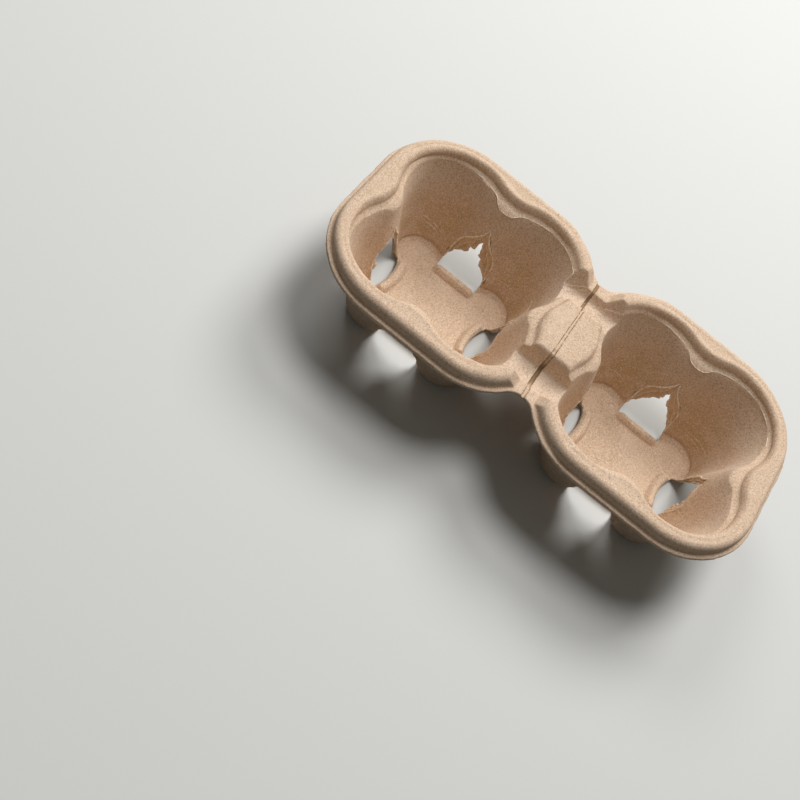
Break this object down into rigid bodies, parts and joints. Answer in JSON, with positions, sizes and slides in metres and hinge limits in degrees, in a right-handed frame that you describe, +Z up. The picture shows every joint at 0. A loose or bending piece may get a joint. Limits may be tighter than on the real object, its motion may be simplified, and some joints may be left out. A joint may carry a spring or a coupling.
{
  "type": "cup carrier",
  "caption": "Moulded paper-pulp carrier: square lobed wells for takeaway cups side by side, a rolled rim all round, open arches in the well walls and a scored bridge that tears.",
  "frame": {"origin": "middle of the resting face, under the tear score", "axes": "+X along the row of wells, +Y across, +Z up out of the wells"},
  "size_m": [0.215, 0.1076, 0.0482],
  "materials": {
    "pulp": "matt moulded paper pulp, unbleached recycled fibre, felted and lightly mottled"
  },
  "bodies": {
    "root": {"cup_carrier": "pulp"}
  },
  "joints": []
}
